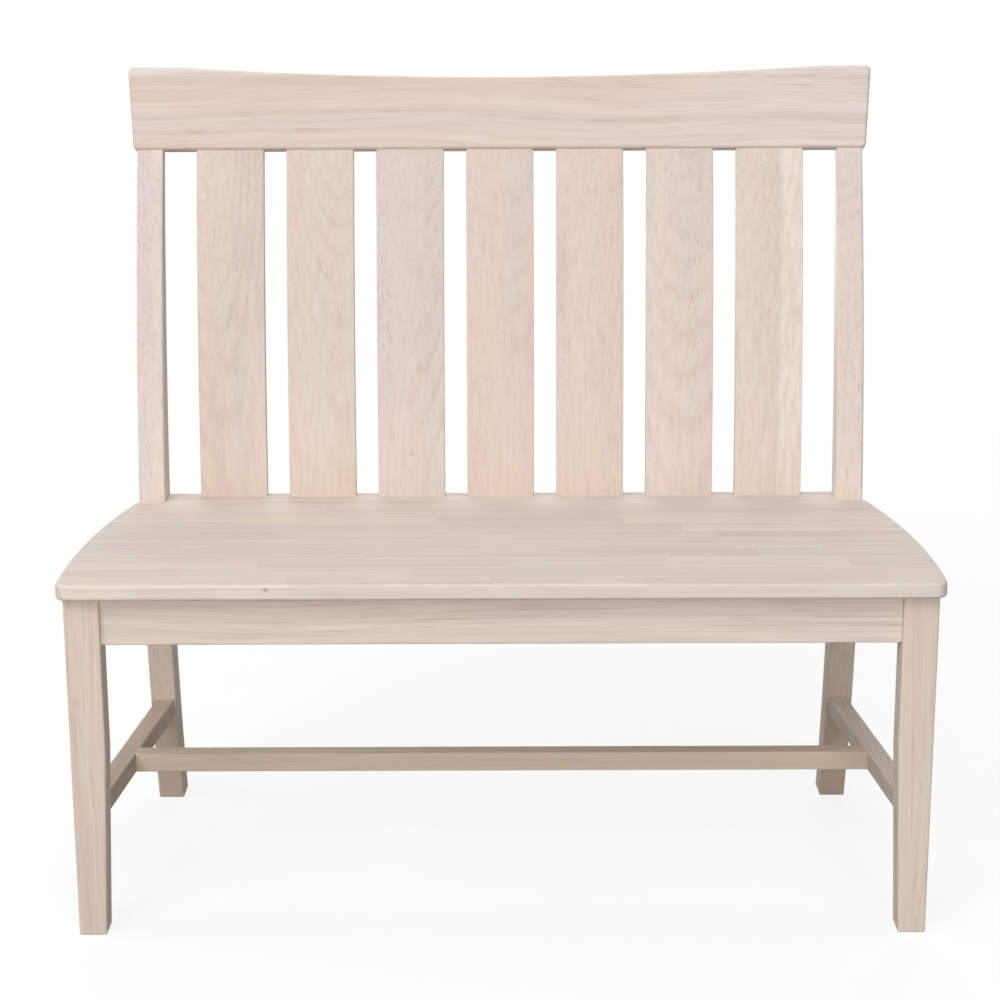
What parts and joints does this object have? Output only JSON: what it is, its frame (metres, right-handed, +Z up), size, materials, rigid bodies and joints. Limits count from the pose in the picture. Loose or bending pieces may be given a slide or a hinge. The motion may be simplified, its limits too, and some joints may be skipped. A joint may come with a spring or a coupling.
{
  "type": "slat-back bench",
  "caption": "Bare pale hardwood bench with a high slatted back, a jointed plank seat, tapered front legs and raked rear legs joined by low stretchers.",
  "frame": {"origin": "on the floor, below the middle of the bounding box", "axes": "+X to the bench's right in the picture, +Y from front to back, +Z up; the front faces -Y"},
  "size_m": [1.071, 0.5744, 1.0358],
  "materials": {
    "seat_wood": "sanded, unfinished",
    "back_wood": "sanded, unfinished",
    "leg_wood": "sanded, unfinished",
    "rail_wood": "sanded, unfinished",
    "block_wood": "sanded, unfinished",
    "dowel_wood": "sanded, unfinished",
    "screw_steel": "zinc plated"
  },
  "bodies": {
    "root": {"seat_stave_1": "seat_wood", "seat_stave_2": "seat_wood", "seat_stave_3": "seat_wood", "seat_stave_4": "seat_wood", "seat_stave_5": "seat_wood", "seat_stave_6": "seat_wood", "seat_stave_7": "seat_wood", "seat_stave_8": "seat_wood", "seat_stave_9": "seat_wood", "seat_stave_10": "seat_wood", "seat_stave_11": "seat_wood", "crest_rail": "back_wood", "back_slat_1": "back_wood", "back_slat_2": "back_wood", "back_slat_3": "back_wood", "back_slat_4": "back_wood", "back_slat_5": "back_wood", "back_slat_6": "back_wood", "back_slat_7": "back_wood", "front_leg_left": "leg_wood", "front_leg_right": "leg_wood", "rear_leg_left": "leg_wood", "rear_leg_right": "leg_wood", "front_apron": "rail_wood", "lower_back_rail": "rail_wood", "side_apron_left": "rail_wood", "side_apron_right": "rail_wood", "cross_stretcher": "rail_wood", "side_stretcher_left": "rail_wood", "side_stretcher_right": "rail_wood", "corner_block_front_left": "block_wood", "corner_block_front_right": "block_wood", "corner_block_rear_left": "block_wood", "corner_block_rear_right": "block_wood", "frame_dowels": "dowel_wood", "crest_dowels": "dowel_wood", "seat_screws": "screw_steel", "corner_block_screws": "screw_steel"}
  },
  "joints": []
}
